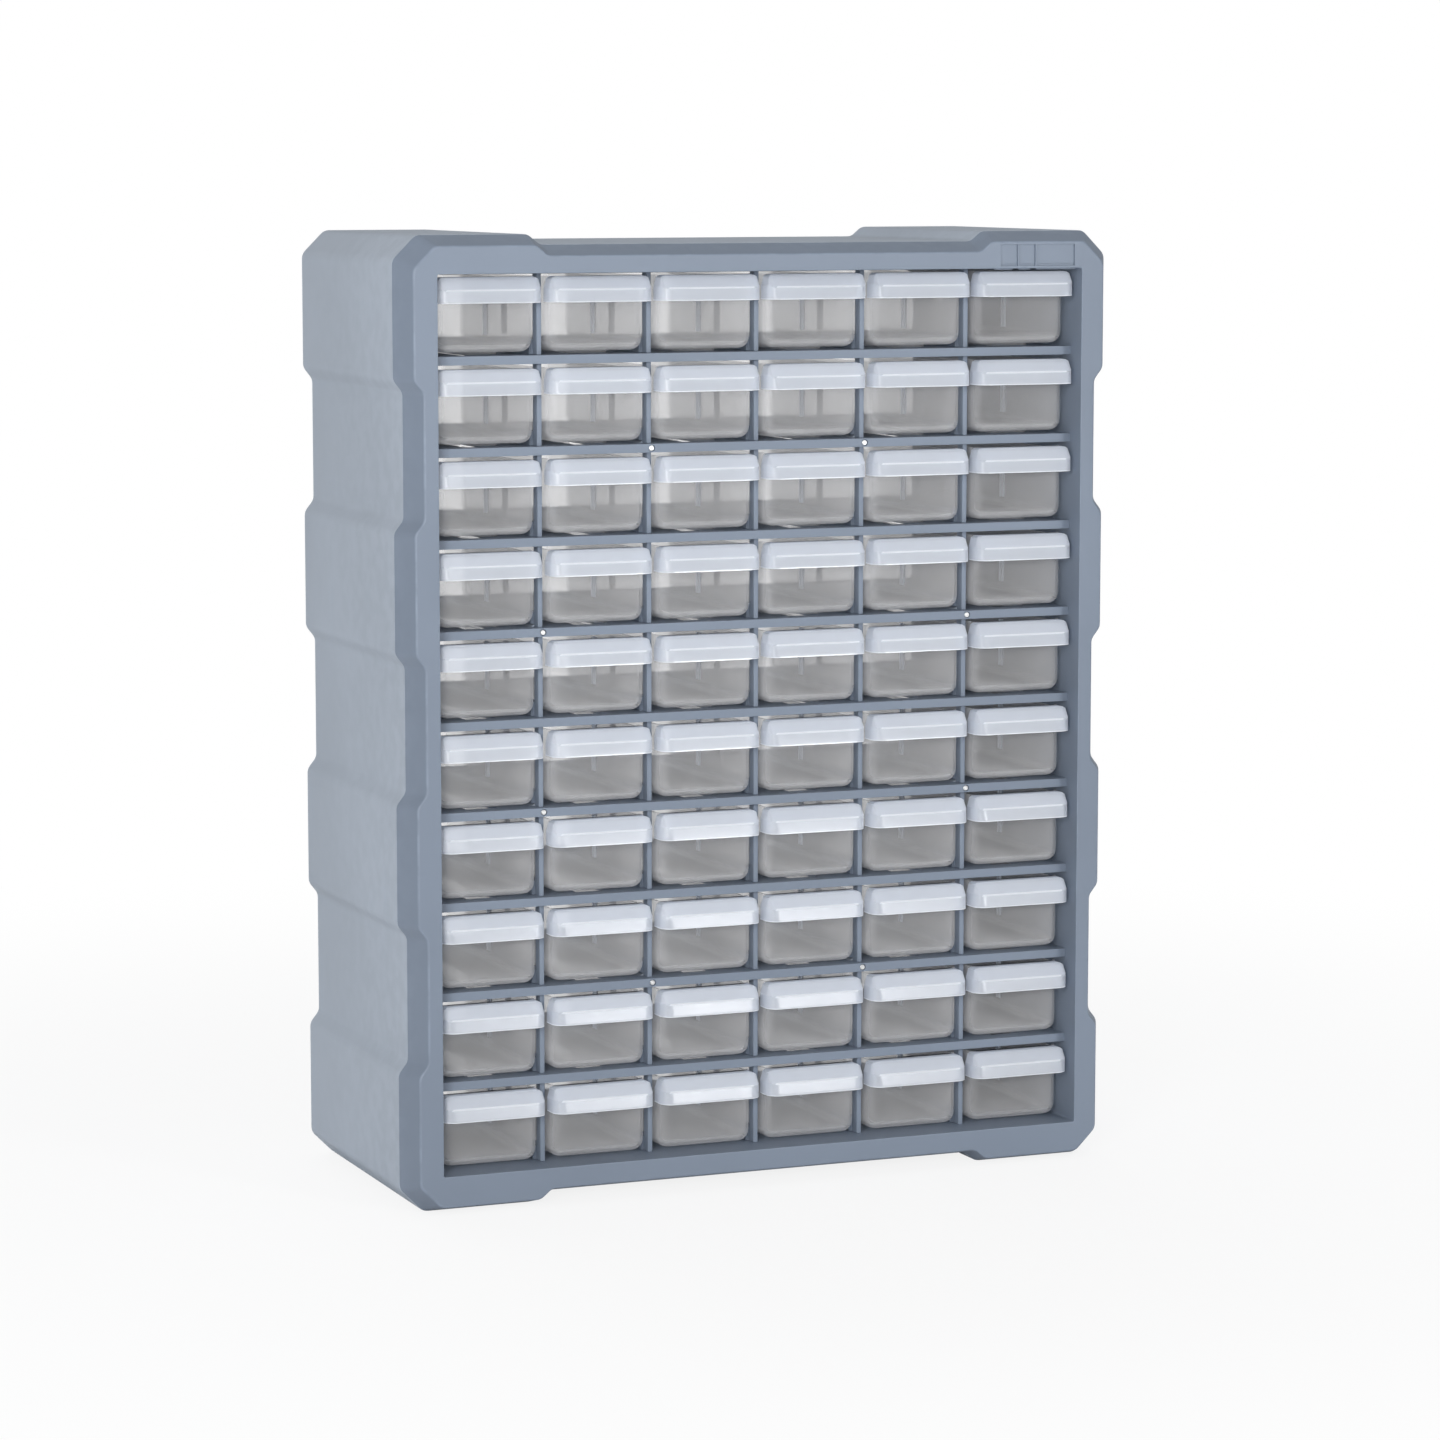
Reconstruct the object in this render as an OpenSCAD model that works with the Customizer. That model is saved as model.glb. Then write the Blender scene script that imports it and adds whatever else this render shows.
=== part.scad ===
// Parts bin cabinet: a grey case of two mouldings with sixty translucent drawers.
// Origin: middle of the footprint, on the surface that it stands on.
// Axes: +Z up, drawers face -Y, +X to the right of someone who faces them.

/* [Case] */
// Overall width
cabinet_w = 380; // [375:1:400]
// Overall depth, front face to back wall
cabinet_d = 160; // [155:1:200]
// Overall height
cabinet_h = 475; // [470:1:500]
// Thickness of the case walls
wall = 2.5; // [2:0.1:3]
// Depth of the tapered front band, from the widest line to the front face
band_d = 13; // [10:0.5:16]
// How much narrower each side of the back is, for release from the mould
draft = 1.3; // [0:0.1:2]
// Chamfer at the four corners of the outline
corner = 12; // [8:0.5:14]

/* [Stacking steps] */
// Depth of the recesses in the sides
side_step = 4.75; // [3:0.25:6]
// Depth of the long recess in the top and in the bottom
end_step = 5; // [3:0.25:6]
// Half width of the long recess, up to where it starts to rise
end_recess = 115; // [90:1:140]

/* [Drawers] */
// Drawer columns
columns = 6; // [6:1:6]
// Drawer rows
rows = 10; // [10:1:10]
// Distance from one column to the next
pitch_x = 57.1; // [56.5:0.1:57.5]
// Distance from one row to the next
pitch_z = 44.2; // [44:0.1:44.4]
// Width of a drawer's box
drawer_w = 50; // [48:0.1:50]
// Length of a drawer's box
drawer_l = 134; // [120:1:135]
// Height of a drawer's side walls above its floor's underside
drawer_side_h = 35; // [30:0.5:35]
// Height of a drawer's front, hood included
drawer_front_h = 36.4; // [35:0.1:37]
// Wall thickness of a drawer
drawer_t = 1.4; // [1.2:0.1:1.6]
// Width of the hooded lip
lip_w = 53; // [52:0.5:53.5]
// How far the lip stands out in front of the box
lip_d = 9.5; // [9:0.5:11]

/* [Shelves] */
// Height of the strip that is each shelf's front edge
strip_h = 4.2; // [4:0.1:4.4]
// Distance from the front face back to the strips
strip_back = 12; // [11:0.5:13]
// Width of the posts between the columns
post_w = 2.5; // [2:0.1:3]
// Height of the low ribs that guide the drawers
rib_h = 7; // [5:0.5:9]

/* [Fixings] */
// Radius of the four wall fixing holes in the back
wall_hole_r = 2.75; // [2.5:0.25:3]
// Distance between the wall fixing holes, side to side
wall_hole_x = 334; // [330:1:338]
// Distance between the wall fixing holes, up and down
wall_hole_z = 400; // [390:5:400]
// Radius of a screw's shank
screw_r = 0.9; // [0.8:0.05:1]

/* [Hidden] */
$fn = 48;
eps = 0.01;
half_w = cabinet_w / 2;
y_front = -cabinet_d / 2;
y_rear = cabinet_d / 2;
y_seam = y_front + band_d;
y_strip = y_front + strip_back;
mid_z = cabinet_h / 2;

// Insets of the front face's edge from the widest outline: sides, top, bottom
face_inset = [6.7, 5.2, 3.6];
// Recesses in each side, as heights above and below the middle
side_recesses = [[-165.5, -98.3], [-33.7, 33.7], [98.3, 165.5]];
// Length that the flank of a recess takes to rise
flank_run = 6;

// Opening of the front face, and the tube that runs back from it
opening_half_w = columns * pitch_x / 2;
grid_mid_z = mid_z + 0.6;
opening_top = grid_mid_z + rows * pitch_z / 2 - 2.7;
opening_r = 1;
tube_t = 2.4;
// The front frame's shelves end where the rear shell's begin
y_split = 0;
split_gap = 1;

// Shelf k is under row k, counted from the top; its strip is a little below the pitch line
function pitch_line(k) = grid_mid_z + pitch_z * (rows / 2 - k);
function shelf_top(k) = pitch_line(k) + 1.8;
function column_x(i) = pitch_x * (i - (columns + 1) / 2);
function boundary_x(i) = pitch_x * (i - columns / 2);
shelf_t = 2;
strip_d = 10;
opening_bottom = shelf_top(rows);

post_back = 4;
rib_clear = 0.6;
rib_w = pitch_x - drawer_w - 2 * rib_clear;
rib_y0 = y_strip + strip_d;
rib_y1 = y_strip + 66;

// Bars at the back of the rear shelves that stop a closing drawer
stop_h = 4;
stop_d = 2;
stop_gap = 1;

// Bare plate at the top right of the front face: two small fields and a long one
plate_x = [126.3, 166.5];
plate_z = [457, 469.2];
plate_rim = 1.1;
plate_bar_x = [136.2, 146.4];
plate_depth = 0.5;

// Window in the back, and slots that leave each shelf open under the middle of a drawer
window_half_w = 152;
window_z = [24, 452];
window_r = 6;
slot_half_w = 8.2;

// Screws, each as [column boundary, row boundary]
screw_places = [[2, 2], [4, 2], [1, 4], [5, 4], [1, 6], [5, 6], [2, 8], [4, 8]];
screw_head_r = 1.3;
screw_head_l = 1.2;
screw_sink_r = 1.6;
screw_sink_d = 1.5;
screw_l = 32;
screw_hole_r = screw_r + 0.1;
screw_drop = 0.3;
screw_post_r = 3.2;
screw_slot_w = 7.2;
screw_slot_h = 3.4;

// Drawer
drawer_r = 6;
drawer_gap = 0.3;
foot_h = 1.3;
foot_t = 1.2;
foot_half_w = 9.8;
foot_inset = 13.5;
guide_t = 1;
guide_gap = 2;
guide_h = 30;
lip_h = 12.4;
lip_ridge_h = 6.1;
lip_ridge_d = 8;
lip_ledge_d = 3.5;
lip_back = 3;
lip_r = 6;
lip_top_r = 4;

// The lowest rows are nodes of two drawers each
single_rows = rows - 2;
drawer_nodes = [for (r = [1:single_rows]) for (c = [1:columns]) str("drawer_r", r, "_c", c)];
pair_nodes = [for (r = [single_rows + 1:rows]) for (c = [1:2:columns])
              str("drawer_r", r, "_c", c, "_c", c + 1)];
case_nodes = ["front_band", "front_shelves", "front_posts", "rear_shell", "rear_shelves"];

case_grey = [0.60, 0.65, 0.71];
steel = [0.80, 0.80, 0.80];
milky = [0.84, 0.85, 0.87];

// Box from its low corner to its high corner
module block(low, high) {
    translate(low) cube(high - low);
}

// Cylinder along Y from y0 to y1
module rod(r, x, z, y0, y1) {
    translate([x, y0, z]) rotate([-90, 0, 0]) cylinder(r = r, h = y1 - y0);
}

// Shape drawn in X and Z, carried from y0 to y1
module along_y(y0, y1) {
    translate([0, y1, 0]) rotate([90, 0, 0]) linear_extrude(y1 - y0) children();
}

// Shape drawn in Y and Z, carried from x0 to x1
module along_x(x0, x1) {
    translate([x0, 0, 0]) rotate([90, 0, 90]) linear_extrude(x1 - x0) children();
}

// Rectangle from its low corner to its high corner, with rounded corners
module rounded(low, high, r) {
    translate([low.x + r, low.y]) square([high.x - low.x - 2 * r, high.y - low.y]);
    translate([low.x, low.y + r]) square([high.x - low.x, high.y - low.y - 2 * r]);
    for (x = [low.x + r, high.x - r], y = [low.y + r, high.y - r]) translate([x, y]) circle(r);
}

// Distance from the case's middle line to the face that looks towards angle a, where 0 is +X
// and 90 is +Z, for the insets of sides, top and bottom; the odd angles are the corners
function face_at(a, inset) =
    a % 90 == 0
        ? (a == 90 ? mid_z - inset[1] : a == 270 ? mid_z - inset[2] : half_w - inset[0])
        : (face_at(0, inset) + face_at(a < 180 ? 90 : 270, inset)
           - corner + 0.15 * inset[0]) * cos(45);

// Carries its children, which point towards +X, to the face that looks towards angle a
module to_face(a) {
    translate([0, 0, mid_z]) rotate([0, -a, 0]) children();
}

// All that lies outside a sloping face, at distance d0 in the plane y0 and d1 in the plane y1
module outside(d0, y0, d1, y1) {
    slope = (d1 - d0) / (y1 - y0);
    linear_extrude(3 * cabinet_h, center = true)
        polygon([[d0 - slope, y0 - 1], [cabinet_h, y0 - 1],
                 [cabinet_h, y1 + 1], [d1 + slope, y1 + 1]]);
}

// Recess from low to high along a sloping face, with sloping flanks
module recess(low, high, depth, d0, y0, d1, y1) {
    angle = atan((d1 - d0) / (y1 - y0));
    over = 10;
    spread = flank_run * (0.5 + over / depth);
    deep = depth * cos(angle);
    translate([d0, y0, 0]) rotate([0, 0, -angle])
        along_y(-12, (y1 - y0) / cos(angle) + 12)
            polygon([[over, low - spread], [-deep, low + flank_run / 2],
                     [-deep, high - flank_run / 2], [over, high + spread]]);
}

// The case's outer form between the planes y0 and y1, or the room inside it, for the insets
// of sides, top and bottom in each plane
module case_form(inset0, y0, inset1, y1) {
    difference() {
        block([-half_w - 5, y0, -5], [half_w + 5, y1, cabinet_h + 5]);
        for (a = [0:45:315])
            to_face(a) outside(face_at(a, inset0), y0, face_at(a, inset1), y1);
        for (a = [0, 180], r = side_recesses)
            to_face(a) recess(r[0], r[1], side_step, face_at(a, inset0), y0, face_at(a, inset1), y1);
        for (a = [90, 270])
            to_face(a) recess(-end_recess - flank_run / 2, end_recess + flank_run / 2, end_step,
                              face_at(a, inset0), y0, face_at(a, inset1), y1);
    }
}

// Front band's form, inset all over, with its taper
module band_form(inset, y0, y1) {
    function band_inset(y) = [inset, inset, inset] + face_inset * (y_seam - y) / band_d;
    case_form(band_inset(y0), y0, band_inset(y1), y1);
}

// Rear shell's form, inset all over, with the draft of its sides
module shell_form(inset, y0, y1) {
    function shell_inset(y) =
        [inset + draft * (y - y_seam) / (y_rear - y_seam), inset, inset];
    case_form(shell_inset(y0), y0, shell_inset(y1), y1);
}

module opening_outline(grow, r) {
    w = opening_half_w + grow;
    rounded([-w, opening_bottom - grow], [w, opening_top + grow], r);
}

// Sunk fields of the plate, which leave its rim and bars level with the front face
module plate_fields() {
    bars = plate_rim / 2;
    lefts = [plate_x[0] + plate_rim, plate_bar_x[0] + bars, plate_bar_x[1] + bars];
    rights = [plate_bar_x[0] - bars, plate_bar_x[1] - bars, plate_x[1] - plate_rim];
    for (i = [0:2])
        block([lefts[i], y_front - 1, plate_z[0] + plate_rim],
              [rights[i], y_front + plate_depth, plate_z[1] - plate_rim]);
}

// Guide ribs on the inner sides of the tube, one beside each outer drawer
module side_ribs() {
    for (k = [1:rows], side = [-1, 1]) {
        inner = side * (opening_half_w - rib_w / 2);
        outer = side * (opening_half_w + tube_t / 2);
        block([min(inner, outer), rib_y0, shelf_top(k)], [max(inner, outer), rib_y1, shelf_top(k) + rib_h]);
    }
}

// Hollow band around the opening: outer skin, front face, and tube that runs back, whose
// bottom is the lowest shelf
module front_band() {
    color(case_grey)
    difference() {
        union() {
            difference() {
                band_form(0, y_front, y_seam);
                band_form(wall, y_front + tube_t, y_seam + 1);
            }
            difference() {
                along_y(y_front + tube_t / 2, y_split) opening_outline(tube_t, opening_r + tube_t);
                along_y(y_front - 1, y_split + 1) opening_outline(0, opening_r);
            }
            side_ribs();
        }
        along_y(y_front - 1, rib_y0) opening_outline(0, opening_r);
        plate_fields();
    }
}

// Hole and sunk head of a screw, and the channel behind it for the rear shelf's post
module screw_cut(x, z) {
    rod(screw_hole_r, x, z, y_strip - 1, rib_y0 + 1);
    rod(screw_sink_r, x, z, y_strip - 1, y_strip + screw_sink_d);
    block([x - screw_slot_w / 2, rib_y0, z - screw_slot_w / 2],
          [x + screw_slot_w / 2, y_split + 1, z + screw_slot_h]);
}

// Slots under the middles of the drawers of row k, from y0 to y1
module shelf_slots(k, y0, y1) {
    for (i = [1:columns])
        block([column_x(i) - slot_half_w, y0, shelf_top(k) - shelf_t - 1],
              [column_x(i) + slot_half_w, y1, shelf_top(k) + 1]);
}

// Front halves of the shelves between the rows, each with the strip that is its front edge
module front_shelves() {
    color(case_grey)
    difference() {
        for (k = [1:rows - 1]) {
            top = shelf_top(k);
            block([-opening_half_w, y_strip, top - shelf_t], [opening_half_w, y_split, top]);
            block([-opening_half_w, y_strip, top - strip_h],
                  [opening_half_w, y_strip + strip_d, top]);
        }
        for (k = [1:rows - 1]) shelf_slots(k, rib_y0, y_split + 1);
        for (s = screw_places) screw_cut(boundary_x(s[0]), pitch_line(s[1]) - screw_drop);
    }
}

// Posts between the columns, each with the guide rib behind it
module front_posts() {
    color(case_grey)
    difference() {
        for (k = [1:rows], i = [1:columns - 1]) {
            ceiling = k == 1 ? opening_top : shelf_top(k - 1) - strip_h;
            block([boundary_x(i) - post_w / 2, y_strip + post_back, shelf_top(k)],
                  [boundary_x(i) + post_w / 2, rib_y0, ceiling]);
            block([boundary_x(i) - rib_w / 2, rib_y0, shelf_top(k)],
                  [boundary_x(i) + rib_w / 2, rib_y1, shelf_top(k) + rib_h]);
        }
        for (s = screw_places) screw_cut(boundary_x(s[0]), pitch_line(s[1]) - screw_drop);
    }
}

module rear_shell() {
    color(case_grey)
    difference() {
        shell_form(0, y_seam, y_rear);
        shell_form(wall, y_seam - 1, y_rear - wall);
        along_y(y_rear - wall - 1, y_rear + 1)
            rounded([-window_half_w, window_z[0]], [window_half_w, window_z[1]], window_r);
        for (x = [-1, 1], z = [-1, 1])
            rod(wall_hole_r, x * wall_hole_x / 2, mid_z + z * wall_hole_z / 2, y_rear - wall - 1, y_rear + 1);
    }
}

// Rod behind the screw place s, from behind the strip to y1
module screw_post(s, r, y1) {
    rod(r, boundary_x(s[0]), pitch_line(s[1]) - screw_drop, rib_y0, y1);
}

// Rear halves of the shelves, with their stop bars, and the posts that take the screws; all
// end on the inside of the rear shell
module rear_shelves() {
    y_stop = y_strip + drawer_l + stop_gap;
    color(case_grey)
    difference() {
        intersection() {
            for (k = [1:rows]) {
                top = shelf_top(k);
                block([-half_w, y_split + split_gap, top - shelf_t], [half_w, y_rear, top]);
                block([-half_w, y_stop, top - shelf_t / 2], [half_w, y_stop + stop_d, top + stop_h]);
            }
            shell_form(wall, y_seam, y_rear - wall);
        }
        for (k = [1:rows - 1]) shelf_slots(k, y_split, y_stop - 1);
        for (s = screw_places) screw_post(s, screw_post_r, y_rear);
    }
    color(case_grey)
    difference() {
        for (s = screw_places) screw_post(s, screw_post_r, y_rear - wall);
        for (s = screw_places) screw_post(s, screw_r, rib_y0 + 26);
    }
}

module screws() {
    y_head = y_strip + screw_sink_d - screw_head_l;
    color(steel)
    for (s = screw_places) {
        x = boundary_x(s[0]);
        z = pitch_line(s[1]) - screw_drop;
        rod(screw_head_r, x, z, y_head, y_head + screw_head_l);
        rod(screw_r, x, z, y_head + screw_head_l - eps, y_head + screw_head_l + screw_l);
    }
}

// The drawer's box up to height h, or the room inside it when inset by t, with every
// corner rounded but the rim's
module box_body(t, h) {
    w = drawer_w / 2 - t;
    r = drawer_r - t;
    intersection() {
        linear_extrude(h) rounded([-w, t], [w, drawer_l - t], r);
        along_y(0, drawer_l) rounded([-w, t], [w, h + r], r);
        along_x(-drawer_w, drawer_w) rounded([t, t], [drawer_l - t, h + r], r);
    }
}

// The lip's outer body, or the room inside it when inset by t: where the view from the
// side, the view from above and the view from the front all have material
module lip_body(t) {
    w = lip_w / 2 - t;
    z0 = drawer_front_h - lip_h - (t > 0 ? 1 : 0);
    top = drawer_front_h - t;
    intersection() {
        along_x(-lip_w, lip_w)
            polygon([[lip_back, z0], [-(lip_d - t), z0],
                     [-(lip_ridge_d - t), drawer_front_h - lip_h + lip_ridge_h - t / 2],
                     [-(lip_ledge_d - t / 2), top], [lip_back, top]]);
        linear_extrude(2 * drawer_front_h) rounded([-w, -(lip_d - t)], [w, lip_back + lip_r], lip_r - t);
        along_y(-lip_d - 1, lip_back) rounded([-w, z0 - lip_top_r], [w, top], lip_top_r - t);
    }
}

// Low ring under the floor that a drawer slides on
module foot_ring() {
    w = foot_half_w;
    l = drawer_l - foot_inset;
    difference() {
        block([-w, foot_inset, -foot_h], [w, l, drawer_t / 2]);
        block([-w + foot_t, foot_inset + foot_t, -foot_h - 1], [w - foot_t, l - foot_t, drawer_t]);
    }
}

// Pairs of upright ribs half way along both side walls, which hold a divider
module divider_guides() {
    inner = drawer_w / 2 - drawer_t;
    for (side = [-1, 1], y = [-guide_gap / 2 - guide_t, guide_gap / 2])
        block([min(side * (inner - guide_t), side * (inner + guide_t / 2)), drawer_l / 2 + y, drawer_r],
              [max(side * (inner - guide_t), side * (inner + guide_t / 2)), drawer_l / 2 + y + guide_t, guide_h]);
}

// A drawer with its floor's underside at z = 0 and the front of its box at y = 0
module drawer() {
    difference() {
        union() {
            box_body(0, drawer_side_h);
            intersection() {
                box_body(0, drawer_front_h);
                block([-lip_w, 0, 0], [lip_w, drawer_t, drawer_front_h]);
            }
            lip_body(0);
            foot_ring();
        }
        box_body(drawer_t, drawer_front_h + 1);
        difference() {
            lip_body(drawer_t);
            block([-lip_w, 0, 0], [lip_w, lip_back + 1, 2 * lip_w]);
        }
    }
    divider_guides();
}

module placed_drawer(r, c) {
    color(milky)
    translate([column_x(c), y_strip, shelf_top(r) + drawer_gap + foot_h]) drawer();
}

front_band();
front_shelves();
front_posts();
rear_shell();
rear_shelves();
screws();
for (r = [1:single_rows], c = [1:columns])
    placed_drawer(r, c);
for (r = [single_rows + 1:rows], c = [1:2:columns])
    union() {
        placed_drawer(r, c);
        placed_drawer(r, c + 1);
    }
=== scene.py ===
# %% [markdown]
# A parts cabinet is a grey moulded case that holds sixty small translucent drawers. This
# lesson starts from a fixed frame with every part in its place, and gives each its looks:
# softened mouldings, milky drawers, steel screws, studio light and a camera. The frame
# is loaded first, because every piece that is made later has to sit on it.

# %% Load the frame
import math
import bmesh
import bpy
from mathutils import Matrix, Vector


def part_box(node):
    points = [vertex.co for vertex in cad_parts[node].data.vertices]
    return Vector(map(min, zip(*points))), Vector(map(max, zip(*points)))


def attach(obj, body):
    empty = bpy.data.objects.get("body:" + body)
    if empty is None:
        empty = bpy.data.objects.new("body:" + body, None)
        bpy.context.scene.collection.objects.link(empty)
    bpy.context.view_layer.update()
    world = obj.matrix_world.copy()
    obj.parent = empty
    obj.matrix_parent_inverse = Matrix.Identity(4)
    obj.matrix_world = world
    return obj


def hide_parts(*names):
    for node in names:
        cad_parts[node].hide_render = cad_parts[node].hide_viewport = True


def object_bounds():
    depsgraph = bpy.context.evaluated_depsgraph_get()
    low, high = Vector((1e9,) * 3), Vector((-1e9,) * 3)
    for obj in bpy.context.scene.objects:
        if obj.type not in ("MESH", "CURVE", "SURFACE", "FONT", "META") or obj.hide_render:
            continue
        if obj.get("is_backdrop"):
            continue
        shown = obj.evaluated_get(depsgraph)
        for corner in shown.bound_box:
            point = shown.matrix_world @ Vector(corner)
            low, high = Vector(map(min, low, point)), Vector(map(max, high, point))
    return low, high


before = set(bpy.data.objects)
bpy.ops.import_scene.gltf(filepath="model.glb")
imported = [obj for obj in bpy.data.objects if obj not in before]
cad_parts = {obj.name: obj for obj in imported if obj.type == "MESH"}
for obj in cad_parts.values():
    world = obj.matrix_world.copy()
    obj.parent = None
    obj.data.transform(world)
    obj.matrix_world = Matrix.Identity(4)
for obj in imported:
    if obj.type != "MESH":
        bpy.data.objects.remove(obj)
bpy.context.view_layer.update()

MM = 0.001


def rounded(corner):
    return tuple(round(value, 4) for value in corner)


# %% [markdown]
# Most sizes can be read off the frame's own parts, so they never disagree with it. Only
# the few that a bounding box can't give, such as the depth of a step in the outline, are
# written here as named values.

# %% Read the case's sizes
band_low, band_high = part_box("front_band")
shell_low, shell_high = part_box("rear_shell")
posts_low, posts_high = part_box("front_posts")
shelves_low, shelves_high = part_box("front_shelves")
half_w, height = band_high.x, band_high.z
mid_z = height / 2
y_front, y_seam, y_rear = band_low.y, shell_low.y, shell_high.y
opening_x, opening_bottom, opening_top = shelves_high.x, posts_low.z, posts_high.z
FRONT_WALL, REAR_WALL = 2.3 * MM, 2.5 * MM
# Chamfer of the outer corners, and how much of it is lost per inset of the sides
CORNER, CORNER_LOSS = 12 * MM, 0.15
OUTLINE_R = 6 * MM
# Depth of the recesses down the sides, then depth and half length of the long one in the
# top and the bottom
SIDE_STEP = 4.75 * MM
END_STEP, END_RECESS = 5 * MM, 115 * MM
# Run of the slope into a recess, and taper of the sides towards the back
FLANK = 6 * MM
DRAFT = 1.3 * MM
SIDE_RECESSES = [(-165.5 * MM, -98.3 * MM), (-33.7 * MM, 33.7 * MM), (98.3 * MM, 165.5 * MM)]
# How far the front slopes in at the sides, the top and the bottom
FACE_INSETS = (6.7 * MM, 5.2 * MM, 3.6 * MM)
# Radius of a moulding's edges, and the ring half way round the one at the seam
EDGE = 0.45 * MM
SEAM_RISE, SEAM_INSET = 0.15 * MM, 0.1 * MM
print("opening", round(2 * opening_x, 4), "by", round(opening_top - opening_bottom, 4))

# %% [markdown]
# The case has the same stepped outline all through its depth: chamfered corners, three
# recesses down each side and a long one in the top and the bottom, so that cabinets lock
# when they are stacked. One function gives the outline's corners for any inset. A second
# one turns each corner into a short curve, because a moulding has no sharp corners and
# the soft highlights along its steps come from these curves.

# %% Outline of the case
def case_corners(side_inset, top_inset, bottom_inset):
    """Corners of the outline in X and Z, anticlockwise as seen from the front."""
    side = half_w - side_inset
    top = height - top_inset
    cut = CORNER - CORNER_LOSS * side_inset
    run = FLANK / 2
    right = [(side, bottom_inset + cut)]
    for low, high in SIDE_RECESSES:
        right += [(side, mid_z + low - run), (side - SIDE_STEP, mid_z + low + run),
                  (side - SIDE_STEP, mid_z + high - run), (side, mid_z + high + run)]
    right += [(side, top - cut), (side - cut, top),
              (END_RECESS + FLANK, top), (END_RECESS, top - END_STEP)]
    left = [(-x, z) for x, z in reversed(right)]
    base = [(side - cut, bottom_inset), (END_RECESS + FLANK, bottom_inset),
            (END_RECESS, bottom_inset + END_STEP)]
    base = [(-x, z) for x, z in base] + list(reversed(base))
    return [Vector(point) for point in right + left + base]


def soften(corners, radius, steps=4):
    """The outline with each corner turned into a curve of this radius."""
    ring = []
    for i, corner in enumerate(corners):
        into = corners[i - 1] - corner
        out = corners[(i + 1) % len(corners)] - corner
        turn = math.pi - into.angle(out)
        reach = min(radius * math.tan(turn / 2), 0.45 * into.length, 0.45 * out.length)
        start = corner + into.normalized() * reach
        end = corner + out.normalized() * reach
        for step in range(steps + 1):
            t = step / steps
            ring.append((1 - t) ** 2 * start + 2 * t * (1 - t) * corner + t * t * end)
    return ring


print("outline has", len(case_corners(0, 0, 0)), "corners")

# %% [markdown]
# The mouldings are skins that pass through a row of such outlines. A ring is a closed
# loop of edges in one plane, and the bridge operator stretches faces between two rings.
# Close rings make a rounded edge, and far ones a flat wall. An attribute marks the rings
# on edges that rub and catch the light, and the material paints them paler: partly real
# rubbing, partly a painted highlight. Both mouldings start at the seam between them, so
# one function makes the rings of either.

# %% Rings and skins
def rectangle(x, low, high):
    """Corners of a rectangle in X and Z that is centred in X."""
    return [Vector(corner) for corner in ((x, low), (x, high), (-x, high), (-x, low))]


def add_ring(bm, points, y, worn_and_highlit=0.0):
    """A closed loop of edges in the plane y, from points in X and Z."""
    # Rings can carry a mark that the case material paints paler: rubbing of the edge plus a
    # painted highlight
    wear_and_highlight = bm.verts.layers.float.get("wear_and_highlight") or bm.verts.layers.float.new("wear_and_highlight")
    verts = [bm.verts.new((p.x, y, p.y)) for p in points]
    for vert in verts:
        vert[wear_and_highlight] = worn_and_highlit
    return [bm.edges.new(pair) for pair in zip(verts, verts[1:] + verts[:1])]


def moulding_rings(bm, make_ring, y_end, end_edge):
    """Rings of a moulding from the seam to y_end, with both its edges rounded."""
    way = math.copysign(1, y_end - y_seam)
    # The seam ring and the middle rings of each rounded edge carry the mark for paler paint,
    # partly a painted highlight
    rings = [make_ring(bm, y_seam, EDGE),
             make_ring(bm, y_seam + way * SEAM_RISE, SEAM_INSET, 1),
             make_ring(bm, y_seam + way * EDGE, 0, 0.5)]
    for t in (0, 0.25, 0.5, 0.75, 1):
        y = y_end - way * end_edge * (1 - t) ** 2
        rings.append(make_ring(bm, y, end_edge * t * t, 0 < t < 1))
    return rings


def bridge(bm, rings):
    for ring, following in zip(rings, rings[1:]):
        bmesh.ops.bridge_loops(bm, edges=ring + following)


def face_away(bm, direction):
    """Turns all faces the same way round, so that the ones across direction look along it."""
    bmesh.ops.recalc_face_normals(bm, faces=bm.faces)
    if sum(f.normal.dot(direction) * f.calc_area() for f in bm.faces
           if abs(f.normal.dot(direction)) > 0.95) < 0:
        bmesh.ops.reverse_faces(bm, faces=bm.faces)


# %% [markdown]
# Shading maths is easier to read as Python sums than as a list of nodes and links. The
# class below wraps an output socket and turns +, - and * into Math nodes. The second class
# is one material or world: its node method makes any other node from its type, its
# settings and its inputs.

# %% Write materials as sums
class Signal:
    """An output socket that sums can be written with."""

    def __init__(self, finish, socket):
        self.finish, self.socket = finish, socket

    def maths(self, operation, *others):
        inputs = dict(enumerate([self, *others]))
        return self.finish.node("ShaderNodeMath", {"operation": operation}, inputs)

    def __add__(self, other):
        return self.maths("ADD", other)

    def __mul__(self, other):
        return self.maths("MULTIPLY", other)

    def __sub__(self, other):
        return self.maths("SUBTRACT", other)

    def __rsub__(self, other):
        return self * -1 + other

    __radd__, __rmul__ = __add__, __mul__

    def above(self, low, high):
        """0 up to low, 1 from high on, and a smooth rise between."""
        settings = {"interpolation_type": "SMOOTHSTEP"}
        return self.finish.node("ShaderNodeMapRange", settings, {0: self, 1: low, 2: high})


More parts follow.
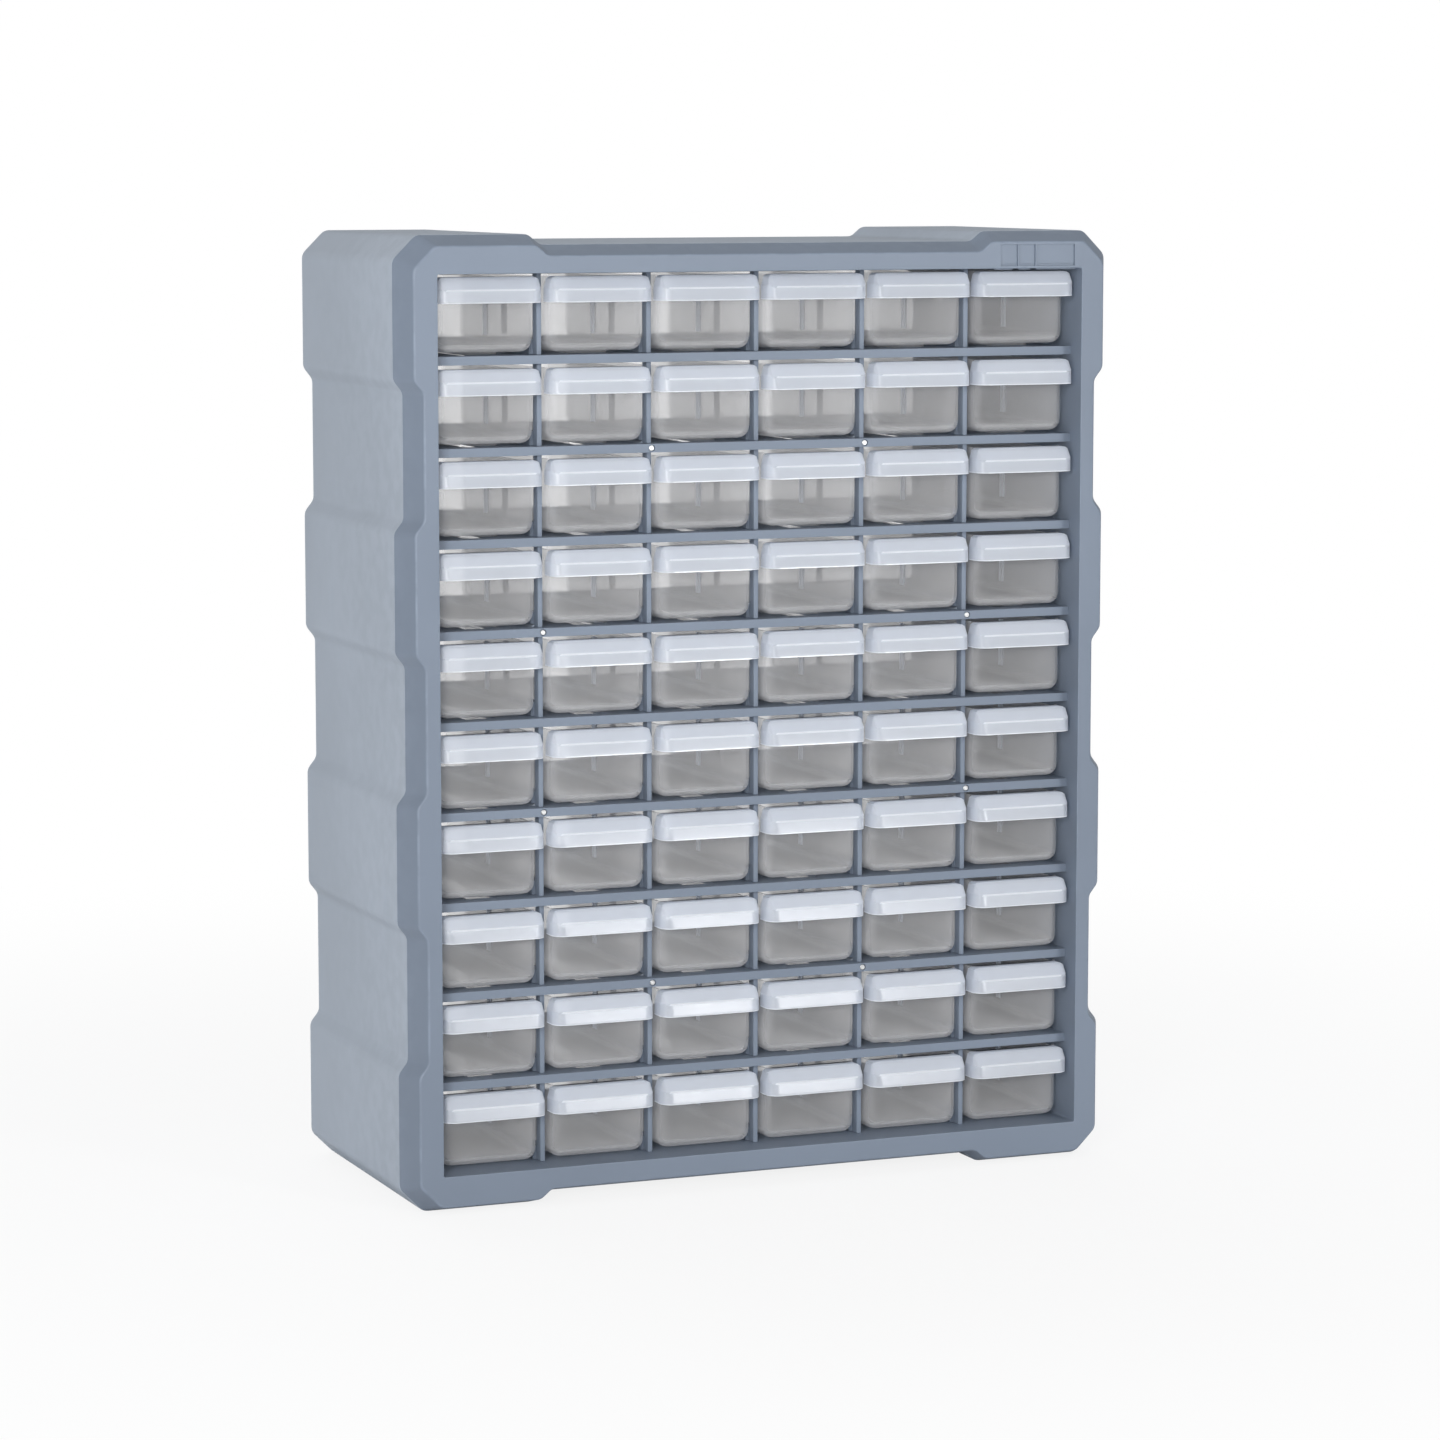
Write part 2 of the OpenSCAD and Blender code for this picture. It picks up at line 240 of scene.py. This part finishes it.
class Finish:
    """A material or world that is built node by node."""

    def __init__(self, name, kept_in=bpy.data.materials, end="ShaderNodeOutputMaterial"):
        self.owner = kept_in.new(name)
        self.owner.use_nodes = True
        self.tree = self.owner.node_tree
        self.tree.nodes.clear()
        self.surface = self.tree.nodes.new(end).inputs["Surface"]

    def node(self, kind, settings=None, inputs=None, output=0):
        made = self.tree.nodes.new(kind)
        for name, value in (settings or {}).items():
            setattr(made, name, value)
        for name, value in (inputs or {}).items():
            if isinstance(value, Signal):
                self.tree.links.new(value.socket, made.inputs[name])
            else:
                made.inputs[name].default_value = value
        return Signal(self, made.outputs[output])

    def blend(self, amount, first, second):
        """Mix of two colours."""
        settings = {"data_type": "RGBA"}
        return self.node("ShaderNodeMix", settings, {0: amount, 6: first, 7: second}, 2)

    def noise(self, where, scale, detail=2.0, roughness=0.5):
        inputs = {"Vector": where, "Scale": scale, "Detail": detail, "Roughness": roughness}
        return self.node("ShaderNodeTexNoise", None, inputs)

    def bump(self, relief, strength, distance):
        inputs = {"Strength": strength, "Distance": distance, "Height": relief}
        return self.node("ShaderNodeBump", None, inputs)

    def here(self):
        return self.node("ShaderNodeTexCoord", output=3)

    def shown(self, shader):
        self.tree.links.new(shader.socket, self.surface)
        return self.owner


# %% [markdown]
# The case is moulded in satin grey plastic. Up close it has a very fine grain, its shade
# wanders a little from the flow in the mould, it picks up faint scuffs, and its marked
# edges are paler and smoother: the paleness is partly real rubbing and partly a painted
# highlight where the rounded edges catch the light. Noise on the object's own coordinates
# gives all of these, each at its own scale. The front moulding is the darker and bluer of
# the two.

# %% Finish of the mouldings
def shade(colour, factor):
    return (colour[0] * factor, colour[1] * factor, colour[2] * factor, 1)


def moulded_plastic(name, colour):
    f = Finish(name)
    here = f.here()
    drift = f.noise(here, 7, 3)
    grain = f.noise(here, 1500, 2)
    stretched = f.node("ShaderNodeMapping", None, {"Vector": here, "Scale": (260, 40, 18)})
    scuffs = f.noise(stretched, 1, 4, 0.6).above(0.62, 0.74)
    # Marked edges are painted paler and made smoother: partly real rubbing, partly a painted
    # highlight along the rounded edges
    wear_and_highlight = f.node("ShaderNodeAttribute", {"attribute_name": "wear_and_highlight"}, output=2)
    rubbed_and_highlit = wear_and_highlight * f.noise(here, 120, 3).above(0.3, 0.7)
    base = f.blend(drift.above(0.35, 0.65), shade(colour, 0.96), shade(colour, 1.04))
    base = f.blend(scuffs * 0.05, base, shade(colour, 1.3))
    base = f.blend(rubbed_and_highlit * 0.35, base, shade(colour, 1.45))
    bump = f.bump(grain, 0.12, 0.2 * MM)
    skin = f.node("ShaderNodeBsdfPrincipled", None, {
        "Base Color": base, "Normal": bump, "Specular IOR Level": 0.4,
        "Roughness": 0.42 + grain * 0.1 - rubbed_and_highlit * 0.1 + scuffs * 0.08})
    return f.shown(skin)


front_plastic = moulded_plastic("front moulding", (0.182, 0.218, 0.276))
rear_plastic = moulded_plastic("rear moulding", (0.35, 0.395, 0.46))
print("finishes:", front_plastic.name, "and", rear_plastic.name)

# %% [markdown]
# Every finished piece goes through one helper. It makes the object at the origin with its
# place in its mesh, shades it smooth but for real edges, weights the normals by face size
# so that large flats stay flat beside small curves, and ties the piece to the frame.

# %% Hand a piece over to the frame
def smooth(mesh, angle=35):
    mesh.shade_smooth()
    mesh.set_sharp_from_angle(angle=math.radians(angle))


def add_bevel(piece, width, angle):
    """Modifier that rounds the edges sharper than an angle in degrees."""
    bevel = piece.modifiers.new("edge", "BEVEL")
    bevel.width, bevel.segments, bevel.limit_method = width, 2, "ANGLE"
    bevel.angle_limit = math.radians(angle)


def hand_over(mesh, material, body, nodes, wall=None, edge=None):
    """Object for a finished mesh, with a wall thickness and rounded edges if they are given."""
    if material.name not in mesh.materials:
        mesh.materials.append(material)
    piece = bpy.data.objects.new(mesh.name, mesh)
    bpy.context.collection.objects.link(piece)
    if wall:
        solid = piece.modifiers.new("wall", "SOLIDIFY")
        solid.thickness, solid.offset, solid.use_even_offset = wall, -1, True
    if edge:
        add_bevel(piece, edge, 40)
    weighted = piece.modifiers.new("flats", "WEIGHTED_NORMAL")
    weighted.keep_sharp = True
    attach(piece, body)
    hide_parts(*nodes)
    return piece


def to_mesh(bm, name):
    mesh = bpy.data.meshes.new(name)
    bm.to_mesh(mesh)
    bm.free()
    smooth(mesh)
    return mesh


# %% [markdown]
# The front band is the frame that one sees first: a sloping outer edge, a flat face, and
# a tube that runs back around the drawers. All of it is one skin through a row of rings,
# with close rings where the edges are rounded. The face is the flat area between the
# outer ridge, the opening and the bare plate at its top right, so one fill between those
# three loops makes it.

# %% Front band
RIDGE = 0.9 * MM
OPENING_R = 1 * MM


def band_ring(bm, y, extra=0.0, worn_and_highlit=0.0):
    part = (y_seam - y) / (y_seam - y_front)
    insets = [inset * part + extra for inset in FACE_INSETS]
    return add_ring(bm, soften(case_corners(*insets), OUTLINE_R), y, worn_and_highlit)


def opening_ring(bm, y, grow=0.0, worn_and_highlit=0.0):
    corners = rectangle(opening_x + grow, opening_bottom - grow, opening_top + grow)
    return add_ring(bm, soften(corners, OPENING_R + grow), y, worn_and_highlit)


bm = bmesh.new()
outside = moulding_rings(bm, band_ring, y_front, RIDGE)
inside = []
# Middle rings of the opening's rounded edge carry the mark too: painted paler, partly as a
# painted highlight
for t in (0, 0.33, 0.67, 1):
    y = y_front + EDGE * t * t
    inside.append(opening_ring(bm, y, EDGE * (1 - t) ** 2, 0 < t < 1))
inside.append(opening_ring(bm, 0))
bridge(bm, outside)
bridge(bm, inside)

# %% [markdown]
# The plate is a rectangle that two bars cut into three fields. It starts as one face,
# two cuts split it, and each part is inset and pushed back a little, which leaves the rim
# and the bars standing level with the face.

# %% Bare plate
PLATE_X, PLATE_Z = (125.6 * MM, 167.4 * MM), (457.3 * MM, 468.7 * MM)
PLATE_BARS = (135.6 * MM, 145.4 * MM)
PLATE_RIM, PLATE_SLOPE, PLATE_DEPTH = 0.45 * MM, 0.15 * MM, 0.9 * MM
corners = [(PLATE_X[0], PLATE_Z[0]), (PLATE_X[1], PLATE_Z[0]),
           (PLATE_X[1], PLATE_Z[1]), (PLATE_X[0], PLATE_Z[1])]
rim = add_ring(bm, [Vector(corner) for corner in corners], y_front)
bmesh.ops.triangle_fill(bm, use_beauty=True, normal=(0, -1, 0),
                        edges=outside[-1] + inside[0] + rim)
fields = bmesh.ops.contextual_create(bm, geom=rim)["faces"]
for x in PLATE_BARS:
    cut = bmesh.ops.bisect_plane(bm, geom=fields + list({e for f in fields for e in f.edges}),
                                 dist=1e-7, plane_co=(x, 0, 0), plane_no=(1, 0, 0))
    fields = [g for g in cut["geom"] if isinstance(g, bmesh.types.BMFace)]
face_away(bm, Vector((0, -1, 0)))
bmesh.ops.inset_individual(bm, faces=fields, thickness=PLATE_RIM)
bmesh.ops.inset_individual(bm, faces=fields, thickness=PLATE_SLOPE, depth=-PLATE_DEPTH)
front_band = hand_over(to_mesh(bm, "front_band_skin"), front_plastic, "case",
                       ["front_band"], wall=FRONT_WALL)
print("front band has", len(front_band.data.polygons), "faces")

# %% [markdown]
# The rear shell is the same outline carried back to the wall side, a little narrower
# there, because a moulding needs a taper to leave its mould. The back is only a border
# around a large window, filled between the outline, the window and four round fixing
# holes, and the Solidify modifier gives the skin its wall.

# %% Rear shell
REAR_EDGE = 1.5 * MM
WINDOW_X, WINDOW_Z, WINDOW_R = 152 * MM, (24 * MM, 452 * MM), 6 * MM
# Wall holes: how far they are from the middle, across and up, and their radius
HOLE_X, HOLE_Z, HOLE_R = 167 * MM, 200 * MM, 2.75 * MM


def shell_ring(bm, y, extra=0.0, worn_and_highlit=0.0):
    side = extra + DRAFT * (y - y_seam) / (y_rear - y_seam)
    return add_ring(bm, soften(case_corners(side, extra, extra), OUTLINE_R), y, worn_and_highlit)


bm = bmesh.new()
rings = moulding_rings(bm, shell_ring, y_rear, REAR_EDGE)
bridge(bm, rings)
holes = add_ring(bm, soften(rectangle(WINDOW_X, *WINDOW_Z), WINDOW_R), y_rear)
for x in (-HOLE_X, HOLE_X):
    for z in (mid_z - HOLE_Z, mid_z + HOLE_Z):
        turned = Matrix.Translation((x, y_rear, z)) @ Matrix.Rotation(math.pi / 2, 4, "X")
        circle = bmesh.ops.create_circle(bm, segments=32, radius=HOLE_R, matrix=turned)
        holes += list({e for v in circle["verts"] for e in v.link_edges})
bmesh.ops.triangle_fill(bm, use_beauty=True, normal=(0, 1, 0), edges=rings[-1] + holes)
face_away(bm, Vector((0, 1, 0)))
rear_shell = hand_over(to_mesh(bm, "rear_shell_skin"), rear_plastic, "case",
                       ["rear_shell"], wall=REAR_WALL)
print("rear shell has", len(rear_shell.data.polygons), "faces")

# %% [markdown]
# Shelves, posts and screws already have their true shape in the frame, holes included.
# They only lack the small radius that every moulded or turned edge has. A copy of each
# mesh is merged, its flat triangles are dissolved, and a Bevel modifier rounds its edges.

# %% Soften the inner parts
def softened(node, material, edge):
    bm = bmesh.new()
    bm.from_mesh(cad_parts[node].data)
    bmesh.ops.remove_doubles(bm, verts=bm.verts, dist=0.002 * MM)
    bmesh.ops.dissolve_limit(bm, angle_limit=math.radians(1), verts=bm.verts, edges=bm.edges)
    mesh = to_mesh(bm, node + "_softened")
    mesh.materials.clear()
    return hand_over(mesh, material, "case", [node], edge=edge)


front_shelves = softened("front_shelves", front_plastic, 0.5 * MM)
front_posts = softened("front_posts", front_plastic, 0.4 * MM)
rear_shelves = softened("rear_shelves", rear_plastic, 0.4 * MM)

# %% [markdown]
# The screws are bright zinc-plated steel. Only their heads show, as small dots in the
# strips. Plating is nearly even, with a fine haze that varies its shade and its gloss.

# %% Screws
f = Finish("bright steel")
haze = f.noise(f.here(), 900, 2)
tint = f.blend(haze, (0.72, 0.72, 0.72, 1), (0.86, 0.86, 0.85, 1))
steel = f.shown(f.node("ShaderNodeBsdfPrincipled", None, {
    "Base Color": tint, "Metallic": 1.0, "Roughness": 0.22 + haze * 0.2,
    "Normal": f.bump(haze, 0.1, 0.1 * MM)}))
screws = softened("screws", steel, 0.25 * MM)
print("softened", front_shelves.name, front_posts.name, rear_shelves.name, screws.name)

# %% [markdown]
# One drawer is modelled at the origin and copied to its sixty places. Its box is a tub:
# a cube without a lid, with the upright and the bottom edges rounded by the bevel
# operator, and then given a wall. The front of its rim stands slightly higher than the
# sides.

# %% Drawer's tub
TUB_W, TUB_L, TUB_SIDE_H, TUB_FRONT_H = 50 * MM, 134 * MM, 35 * MM, 36.4 * MM
TUB_R, TUB_T = 6 * MM, 1.4 * MM


def add_block(bm, middle, size):
    """A box around its middle; returns its corners."""
    place = Matrix.Translation(middle) @ Matrix.Diagonal((*size, 1))
    return bmesh.ops.create_cube(bm, size=1, matrix=place)["verts"]


def make_tub():
    bm = bmesh.new()
    add_block(bm, (0, TUB_L / 2, TUB_SIDE_H / 2), (TUB_W, TUB_L, TUB_SIDE_H))
    lid = max(bm.faces, key=lambda face: face.calc_center_median().z)
    bmesh.ops.delete(bm, geom=[lid], context="FACES_ONLY")
    bmesh.ops.bevel(bm, geom=[e for e in bm.edges if not e.is_boundary], offset=TUB_R,
                    segments=6, profile=0.5, affect="EDGES", material=-1)
    for vert in bm.verts:
        if vert.co.z > TUB_SIDE_H - MM and vert.co.y < TUB_R:
            vert.co.z = TUB_FRONT_H
    return bm


tub = make_tub()
print("tub has", len(tub.faces), "faces")

# %% [markdown]
# The hood is the lip that one pulls by. Seen from the side it has a narrow ledge, a slope
# and a nearly upright apron, and seen from above its front corners are round. Where the
# slope cuts the round corners, hips appear. It is lofted through rings like the case, but
# these rings are open: each one starts at the left, runs round the front and ends at the
# right.

# %% Drawer's hood
HOOD_W, HOOD_D, HOOD_BACK = 26.5 * MM, 9.5 * MM, 3 * MM
HOOD_R, HOOD_TOP_R = 6 * MM, 4 * MM
HOOD_BOTTOM = 24 * MM
# The painted highlight of an edge ends this far from the hood's sides
SHINE_END = 4 * MM
# Radius of the cut in the back of the top, just inside the tub's rounded front corners
HOOD_BACK_R = 5.3 * MM
# Heights above the drawer's floor and how far the hood stands out there, in millimetres,
# and how much the edge there shines, which the material paints as a whiter, more opaque line
HOOD_PROFILE = [(24, 9.5, 1), (24.6, 9.4, 0.3), (25, 9.3, 0), (29.6, 8.1, 0), (30.1, 7.9, 1),
                (30.5, 7.65, 0.6), (30.9, 7.3, 0), (35.3, 4.2, 0), (36.1, 3.6, 0.4),
                (36.4, 2.9, 0)]


def hood_ring(bm, z, depth, rim):
    """Open ring at height z, from the left end round the front to the right end."""
    over = max(0.0, z - (TUB_FRONT_H - HOOD_TOP_R))
    width = HOOD_W - HOOD_TOP_R + math.sqrt(max(HOOD_TOP_R ** 2 - over ** 2, 0.0))
    right = [(width, HOOD_BACK), (width, max(-HOOD_D + HOOD_R, -depth))]
    for step in range(1, 7):
        turn = math.radians(15 * step)
        right.append((min(HOOD_W - HOOD_R + HOOD_R * math.cos(turn), width),
                      max(-HOOD_D + HOOD_R - HOOD_R * math.sin(turn), -depth)))
    path = [(-x, y) for x, y in right] + list(reversed(right))
    # The rim value makes the drawers' material paint an edge whiter and more opaque: a painted
    # highlight, partly the real milkiness of plastic seen edge-on
    shine = bm.verts.layers.float.get("rim") or bm.verts.layers.float.new("rim")
    verts = [bm.verts.new((x, y, z)) for x, y in path]
    for vert in verts:
        whole_way = z < HOOD_BOTTOM + MM
        vert[shine] = rim if whole_way or abs(vert.co.x) < HOOD_W - SHINE_END else 0
    return [bm.edges.new(pair) for pair in zip(verts, verts[1:])]


def make_hood():
    bm = bmesh.new()
    rings = [hood_ring(bm, z * MM, d * MM, rim) for z, d, rim in HOOD_PROFILE]
    bridge(bm, rings)
    ends = [rings[-1][0].verts[0], rings[-1][-1].verts[1]]
    # The back of the top follows the tub's rounded front corners
    back = []
    for step in range(5):
        turn = math.radians(35 + 55 * step / 4)
        back.append((TUB_W / 2 - TUB_R + HOOD_BACK_R * math.cos(turn),
                     TUB_R - HOOD_BACK_R * math.sin(turn)))
    path = back + [(-x, y) for x, y in reversed(back)]
    verts = [ends[1]] + [bm.verts.new((x, y, TUB_FRONT_H)) for x, y in path] + [ends[0]]
    closing = [bm.edges.new(pair) for pair in zip(verts, verts[1:])]
    bmesh.ops.contextual_create(bm, geom=rings[-1] + closing)
    veil = bm.verts.layers.float.new("veil")
    for vert in bm.verts:
        vert[veil] = 1
    return bm


hood = make_hood()
print("hood has", len(hood.faces), "faces")

# %% [markdown]
# Tub and hood become one drawer. Both are skins so far, and the solidify operator gives
# them their wall. A low ring under the floor carries the drawer on its shelf, so that
# only a little of it rubs. Half way along each side, a pair of upright ribs leaves a slot
# for a divider.

# %% Drawer
FOOT_W, FOOT_INSET, FOOT_T, FOOT_H = 9.8 * MM, 13.5 * MM, 1.2 * MM, 1.3 * MM
FOOT_SUNK = 0.3 * MM
RIB_TOP = 30 * MM
RIB_SIZE = (1.6 * MM, 1 * MM, RIB_TOP - TUB_R)
RIB_Z = (TUB_R + RIB_TOP) / 2
# How far each rib of a pair is from the middle of the tub's length
RIB_OFF = 1.5 * MM


def foot_loop(bm, inset, z):
    x, low, high = FOOT_W - inset, FOOT_INSET + inset, TUB_L - FOOT_INSET - inset
    corners = ((-x, low), (x, low), (x, high), (-x, high))
    verts = [bm.verts.new((*corner, z)) for corner in corners]
    return [bm.edges.new(pair) for pair in zip(verts, verts[1:] + verts[:1])]


def thicken(bm, thickness, outward):
    face_away(bm, outward)
    bmesh.ops.solidify(bm, geom=list(bm.faces), thickness=thickness)


def make_drawer():
    drawer = bpy.data.meshes.new("drawer")
    whole = bmesh.new()
    for skin, outward in ((tub, Vector((0, 0, -1))), (hood, Vector((0, -1, 0)))):
        thicken(skin, TUB_T, outward)
        skin.to_mesh(drawer)
        skin.free()
        whole.from_mesh(drawer)
    rings = [foot_loop(whole, 0, -FOOT_H), foot_loop(whole, FOOT_T, -FOOT_H),
             foot_loop(whole, FOOT_T, FOOT_SUNK), foot_loop(whole, 0, FOOT_SUNK)]
    bridge(whole, rings + rings[:1])
    for x in (-TUB_W / 2 + TUB_T, TUB_W / 2 - TUB_T):
        for y in (TUB_L / 2 - RIB_OFF, TUB_L / 2 + RIB_OFF):
            for vert in add_block(whole, (x, y, RIB_Z), RIB_SIZE):
                vert[whole.verts.layers.float["veil"]] = 2
    bmesh.ops.recalc_face_normals(whole, faces=whole.faces)
    whole.to_mesh(drawer)
    whole.free()
    holder = bpy.data.objects.new("drawer", drawer)
    bpy.context.collection.objects.link(holder)
    add_bevel(holder, 0.4 * MM, 50)
    graph = bpy.context.evaluated_depsgraph_get()
    finished = bpy.data.meshes.new_from_object(holder.evaluated_get(graph))
    bpy.data.objects.remove(holder)
    smooth(finished, 40)
    return finished


drawer_mesh = make_drawer()
print("a drawer has", len(drawer_mesh.polygons), "faces")

# %% [markdown]
# The drawers are thin polypropylene: milky, but clear enough to show the dark ribs and
# shelves behind them. A mix of shaders does it without the noise of refraction. Most of
# the light goes straight through, and the rest is partly turned back and partly sent on,
# softly spread. The flat front and back are clearest. Sides, floor and rounded corners
# are milkier, and the hood and the ribs are the whitest of all. The hood's shining edges
# are painted whiter and more opaque still: a painted highlight, on top of the milkier
# look of plastic seen edge-on.

# %% Finish of the drawers
f = Finish("milky plastic")
here = f.here()
cloud = f.noise(here, 60, 3)
ripple = f.noise(here, 240, 2)
veil = f.node("ShaderNodeAttribute", {"attribute_name": "veil"}, output=2)
# rim: the hood's shining edges, painted whiter and more opaque as a painted highlight, partly
# the real milkiness of plastic seen edge-on
rim = f.node("ShaderNodeAttribute", {"attribute_name": "rim"}, output=2).above(0.2, 0.9)
normal = f.node("ShaderNodeTexCoord", output=1)
sideways = f.node("ShaderNodeSeparateXYZ", None, {0: normal})
upward = f.node("ShaderNodeSeparateXYZ", None, {0: normal}, 2)
tone = f.blend(cloud, (0.93, 0.92, 0.92, 1), (0.97, 0.96, 0.96, 1))
tone = f.blend(veil, tone, (0.88, 0.92, 0.99, 1))
wall = 0.12 + sideways * sideways * 0.16 + upward * upward * 0.5
density = wall + cloud * 0.04 + veil * 0.3 + rim * 0.45
ripples = f.bump(ripple, 0.08, 0.4 * MM)
turned_back = f.node("ShaderNodeBsdfPrincipled", None, {
    "Base Color": f.blend(rim, tone, (0.97, 0.98, 1.0, 1)),
    "Roughness": 0.14 + cloud * 0.1, "Normal": ripples})
sent_on = f.node("ShaderNodeBsdfTranslucent", None, {"Color": tone})
milk = f.node("ShaderNodeMixShader", None, {0: 0.4, 1: turned_back, 2: sent_on})
straight = f.node("ShaderNodeBsdfTransparent")
milky_plastic = f.shown(f.node("ShaderNodeMixShader", None, {0: density, 1: straight, 2: milk}))

# %% [markdown]
# Sixty copies fill the grid. Each drawer's place is written into its mesh and it rides on
# its own body, so it can be pulled out. The two lowest rows hold two drawers to a body.

# %% Fill the grid
COLUMNS, ROWS, SINGLE_ROWS = 6, 10, 8
PITCH_X = 57.1 * MM
drawers = []
for row in range(1, ROWS + 1):
    for column in range(1, COLUMNS + 1):
        first = column - (column - 1) % 2
        node = f"drawer_r{row}_c{column}"
        if row > SINGLE_ROWS:
            node = f"drawer_r{row}_c{first}_c{first + 1}"
        mesh = drawer_mesh.copy()
        mesh.name = f"drawer_{row}_{column}"
        low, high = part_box(node)
        x = PITCH_X * (column - (COLUMNS + 1) / 2)
        mesh.transform(Matrix.Translation((x, shelves_low.y, low.z + FOOT_H)))
        drawers.append(hand_over(mesh, milky_plastic, node, [node]))
print(len(drawers), "drawers")

# %% [markdown]
# The cabinet stands on a pale floor that runs back without a horizon. The floor's own
# colour is mixed with plain white for the camera, and gives way to it altogether further
# off, so that it joins a white background but still keeps a soft shadow under the cabinet.
# The room is brighter behind the cabinet, near the horizon, where a lit backdrop would
# stand, and that light comes through the open back and makes the drawers glow. Only light
# that is scattered counts it in, so the top doesn't mirror it as glare.

# %% Floor and background
# Half the floor's width, in metres
FLOOR_REACH = 40
ROOM_STRENGTH, BACKDROP_STRENGTH = 0.42, 3.6

f = Finish("pale floor")
seen = f.node("ShaderNodeLightPath", output="Is Camera Ray")
speckle = f.noise(f.here(), 40, 2)
paper = f.blend(speckle, (0.86, 0.86, 0.86, 1), (0.88, 0.88, 0.88, 1))
matt = f.node("ShaderNodeBsdfDiffuse", None, {"Color": paper})
white = f.node("ShaderNodeEmission", None, {"Color": (1, 1, 1, 1), "Strength": 1.0})
away = f.node("ShaderNodeVectorMath", {"operation": "LENGTH"}, {0: f.here()}, "Value")
whiter = seen * (0.85 + away.above(0.3, 1.0) * 0.15)
floor_paper = f.shown(f.node("ShaderNodeMixShader", None, {0: whiter, 1: matt, 2: white}))
bm = bmesh.new()
bmesh.ops.create_grid(bm, x_segments=1, y_segments=1, size=FLOOR_REACH)
floor_mesh = bpy.data.meshes.new("floor")
bm.to_mesh(floor_mesh)
bm.free()
floor_mesh.materials.append(floor_paper)
floor = bpy.data.objects.new("floor", floor_mesh)
bpy.context.collection.objects.link(floor)
floor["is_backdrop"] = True

scene = bpy.context.scene
f = Finish("studio", bpy.data.worlds, "ShaderNodeOutputWorld")
seen = f.node("ShaderNodeLightPath", output="Is Camera Ray")
scattered = f.node("ShaderNodeLightPath", output="Is Diffuse Ray")
backwards = f.node("ShaderNodeSeparateXYZ", None, {0: f.node("ShaderNodeTexCoord")}, "Y")
strength = f.node("ShaderNodeMapRange", None, {
    "Value": backwards * scattered, "From Min": 0.6, "From Max": 0.95,
    "To Min": ROOM_STRENGTH, "To Max": BACKDROP_STRENGTH})
room = f.node("ShaderNodeBackground", None, {"Color": (0.96, 0.98, 1, 1), "Strength": strength})
backdrop = f.node("ShaderNodeBackground", None, {"Color": (1, 1, 1, 1), "Strength": 1})
scene.world = f.shown(f.node("ShaderNodeMixShader", None, {0: seen, 1: room, 2: backdrop}))

# %% [markdown]
# Three soft boxes light the cabinet, as in a product studio: a key from the left, one
# from the front right that every rounded edge of the lips mirrors as a bright line, and
# a wide one from above. The room itself gives the rest. The camera looks slightly down
# from the front left, through a long lens.

# %% Lamps and camera
CAMERA_PLACE = (-0.8903, -2.1613, 0.5127)
CAMERA_AZIMUTH, CAMERA_ELEVATION = -22.55, -6.99
SENSOR, LENS = 36, 115.2


def turn_to(thing, aim):
    thing.rotation_euler = aim.to_track_quat("-Z", "Y").to_euler()


def soft_box(name, place, size, power):
    lamp = bpy.data.lights.new(name, "AREA")
    lamp.shape, lamp.size, lamp.energy = "DISK", size, power
    box = bpy.data.objects.new(name, lamp)
    box.location = place
    turn_to(box, Vector((0, 0, mid_z)) - box.location)
    bpy.context.collection.objects.link(box)


soft_box("key", (-1.45, -2.1, 0.75), 0.9, 35)
soft_box("front", (0.85, -2.1, 0.75), 0.4, 14)
soft_box("top", (0.1, -0.3, 2.2), 1.6, 2)

camera = bpy.data.objects.new("camera", bpy.data.cameras.new("camera"))
camera.data.sensor_width, camera.data.lens = SENSOR, LENS
azimuth, elevation = math.radians(CAMERA_AZIMUTH), math.radians(CAMERA_ELEVATION)
camera.location = CAMERA_PLACE
turn_to(camera, Vector((-math.sin(azimuth) * math.cos(elevation),
                        math.cos(azimuth) * math.cos(elevation), math.sin(elevation))))
camera.data.clip_end = 50
bpy.context.collection.objects.link(camera)
scene.camera = camera
scene.view_settings.view_transform = "Standard"

# %% Finish
low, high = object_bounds()
print("shown from", rounded(low), "to", rounded(high))
